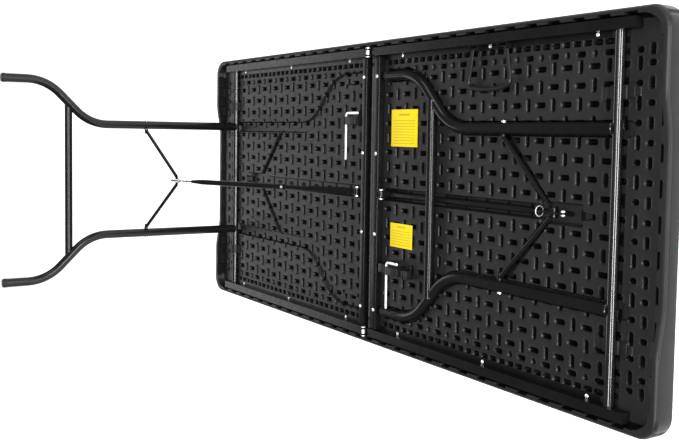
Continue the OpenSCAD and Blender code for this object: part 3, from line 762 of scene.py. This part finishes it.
# latch wires, slightly flattened, and the moulded clips that hold them
wire_radius = 3.5 * MM
wire_half_height = 2.45 * MM
wire_inset = 2.3 * MM
clip_gap = wire_radius + 0.1 * MM
for side, sign in SIDES:
    lo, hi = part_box(side + "_latch_wire")
    z = (lo.z + hi.z) / 2
    cx, cy = lo.x + wire_inset, hi.y - wire_inset
    made = bmesh.new()
    tube(made, hook_path((cx, cy, z), hi.x, lo.y, 8 * MM), wire_radius)
    for vert in made.verts:
        vert.co.z = z + (vert.co.z - z) * wire_half_height / wire_radius
    wire = from_bmesh(side + "_latch_hook", made, white_wire_mat, side + "_latch", 60)
    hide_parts(side + "_latch_wire")
    # a base under the wire, and a jaw on each side of it
    made = bmesh.new()
    y0, y1 = cy - 30 * MM, cy - 9 * MM
    x0, x1 = cx - 6 * MM, cx + 50 * MM
    floor_z = field + 0.2 * MM
    block(made, (x0, y0, floor_z), (x1, y1, z - wire_radius - 0.6 * MM), 1.2 * MM)
    block(made, (x0, y0, floor_z), (cx - clip_gap, y1, z + 5 * MM), 1.0 * MM)
    block(made, (cx + clip_gap, y0, floor_z), (x1, y1, z + 6.2 * MM), 1.4 * MM)
    if sign > 0:
        # the right clip has a foot on the beam's side and two posts on the other
        block(made, (x0 - 36 * MM, y0 + 1 * MM, floor_z), (x0 - 8 * MM, y1 + 2 * MM, z - 4 * MM), 1.4 * MM)
        for start in (x1 + 4 * MM, x1 + 20 * MM):
            block(made, (start, y0 - 3 * MM, floor_z), (start + 11 * MM, y1 - 2 * MM, z), 1.4 * MM)
    from_bmesh(side + "_latch_clip", made, block_mat, side + "_half")

# the clips on the right pivot tube are open jaws with a foot on each side; the left ones keep their straps
made = bmesh.new()
for lo, hi in islands("right_saddles"):
    for s in (-1, 1):
        xa = pivot_x + s * (pivot_radius + 0.6 * MM)
        xb = xa + s * 9 * MM
        xc = xb + s * 15 * MM
        block(made, (min(xa, xb), lo.y, lo.z), (max(xa, xb), hi.y, pivot_z + 1.5 * MM), 1.3 * MM)
        foot_low = (min(xb, xc), lo.y + 2 * MM, lo.z)
        foot_high = (max(xb, xc), hi.y - 2 * MM, lo.z + 3.2 * MM)
        block(made, foot_low, foot_high, 1.2 * MM)
jaws = from_bmesh("right_tube_jaws", made, block_mat, "right_half")
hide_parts("right_saddles")

# the folded strut's tail rivet, with a head on each side
lo, hi = islands("right_joint_bolt")[-1]
x, z = (lo.x + hi.x) / 2, (lo.z + hi.z) / 2
made = bmesh.new()
for s in (-1, 1):
    tube(made, [(x, s * (hi.y - 2.6 * MM), z), (x, s * hi.y, z)], (hi.x - lo.x) / 2 + 0.3 * MM, 20)
from_bmesh("right_tail_rivet", made, zinc_mat, "right_slider")

# carrying handle: a bent strap with a thicker, slightly sagging grip; shares of its width and depth
handle_outline = (
    (0.13, 0.93), (0.10, 0.62), (0.055, 0.28), (0.07, 0.14), (0.22, 0.08), (0.50, 0.055),
    (0.78, 0.08), (0.92, 0.15), (0.945, 0.30), (0.905, 0.62), (0.87, 0.93),
)
lo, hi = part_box("carrying_handle")
width, depth = hi.x - lo.x, hi.y - lo.y
mid_z = (lo.z + hi.z) / 2
knots = [Vector((lo.x + f * width, lo.y + g * depth, mid_z)) for f, g in handle_outline]
made = bmesh.new()
tube(made, curve_through(knots, 6), 5.4 * MM, 18)
for vert in made.verts:
    grip = 1 - smooth(0.18, 0.34, (vert.co.y - lo.y) / depth)
    vert.co.z = mid_z + (vert.co.z - mid_z) * (0.45 + 0.42 * float(grip))
    vert.co.x = min(max(vert.co.x, lo.x), hi.x)
    vert.co.y = min(max(vert.co.y, lo.y), hi.y)
handle = from_bmesh("handle_loop", made, handle_mat, "handle", 60)
# the straps are rubber, and the grip between them is plastic
handle.data.materials.append(rubber_mat)
strap_start = lo.y + 0.24 * depth
for face in handle.data.polygons:
    face.material_index = 1 if face.center.y > strap_start else 0
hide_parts("carrying_handle")

# weld beads where each leg tube meets its pivot tube
bead_radius = 1.6 * MM
bead_clear = 6.5 * MM
bead_steps = 40
weld_radius = leg_radius + 0.5 * MM
for side, sign in SIDES:
    for end, y_sign in (("front", -1), ("back", 1)):
        points = []
        for k in range(bead_steps + 1):
            angle = 2 * math.pi * k / bead_steps
            wobble = 0.5 * MM * math.sin(11 * angle)
            a, b = weld_radius * math.cos(angle), weld_radius * math.sin(angle)
            if sign < 0:
                # the left frame stands up, so its beads lie flat
                points.append((-pivot_x + a, y_sign * leg_y + b, pivot_z + bead_clear + wobble))
            else:
                points.append((pivot_x - bead_clear + wobble, y_sign * leg_y + a, pivot_z + b))
        made = bmesh.new()
        tube(made, points, bead_radius, 8)
        from_bmesh(side + "_" + end + "_weld", made, gloss_mat, side + "_leg")


# ---------------------------------------------------------------- stage
def plane(name, size, z):
    mesh = bpy.data.meshes.new(name)
    corners = [(-size, -size, z), (size, -size, z), (size, size, z), (-size, size, z)]
    mesh.from_pydata(corners, [], [(0, 1, 2, 3)])
    return link(name, mesh)


# the floor glows a little, so that it reads as a plain white ground
floor = plane("floor", 30, -0.5 * MM)
floor_mat, _, floor_shader = new_material("pale_floor", (0.92, 0.92, 0.92), 0.95)
floor_shader.inputs["Emission Color"].default_value = (1, 1, 1, 1)
floor_shader.inputs["Emission Strength"].default_value = 0.75
floor.data.materials.append(floor_mat)


def area_light(name, place, aim, size_x, size_y, power):
    data = bpy.data.lights.new(name, "AREA")
    data.energy = power
    data.shape = "RECTANGLE"
    data.size = size_x
    data.size_y = size_y
    obj = link(name, data)
    obj.location = place
    obj.rotation_mode = "QUATERNION"
    obj.rotation_quaternion = (Vector(aim) - Vector(place)).to_track_quat("-Z", "Y")


area_light("overhead", (1.2, 0.8, 3.0), (0.2, 0, 0), 1.6, 1.6, 12)
area_light("right", (4.0, 0.4, 1.0), (0.3, 0, 0), 3.2, 0.7, 170)
area_light("back", (0.2, 3.2, 2.0), (0, 0, 0), 1.4, 1.4, 20)
# the haze lies over the left half, and the streak is the long highlight of the tubes
area_light("haze", (-3.3, 0.0, 1.55), (-0.5, 0, 0), 2.4, 1.1, 20)
area_light("streak", (2.45, 0.0, 2.75), (0.79, 0, 0), 3.0, 0.5, 125)
world = bpy.data.worlds.new("studio")
world.use_nodes = True
world.node_tree.nodes["Background"].inputs["Color"].default_value = (1, 1, 1, 1)
world.node_tree.nodes["Background"].inputs["Strength"].default_value = 0.19
bpy.context.scene.world = world
bpy.context.scene.view_settings.view_transform = "Standard"


# ---------------------------------------------------------------- camera
def camera():
    """Seen from above the right end, turned so that the far long side is up."""
    place = Vector((1.93973, 0.15011, 1.29102 + rim_top))
    # axis of the turn from the table's axes to the camera's, times its angle in radians
    turn = Vector((0.047697, -1.002466, -0.044775))
    rows = Matrix.Rotation(turn.length, 3, turn.normalized())
    data = bpy.data.cameras.new("camera")
    data.sensor_width = 36
    data.lens = 48.8598
    data.shift_x = -0.013402
    data.shift_y = -0.047187
    data.clip_end = 200
    obj = link("camera", data)
    obj.matrix_world = Matrix.Translation(place) @ rows.transposed().to_4x4()
    bpy.context.scene.camera = obj


camera()
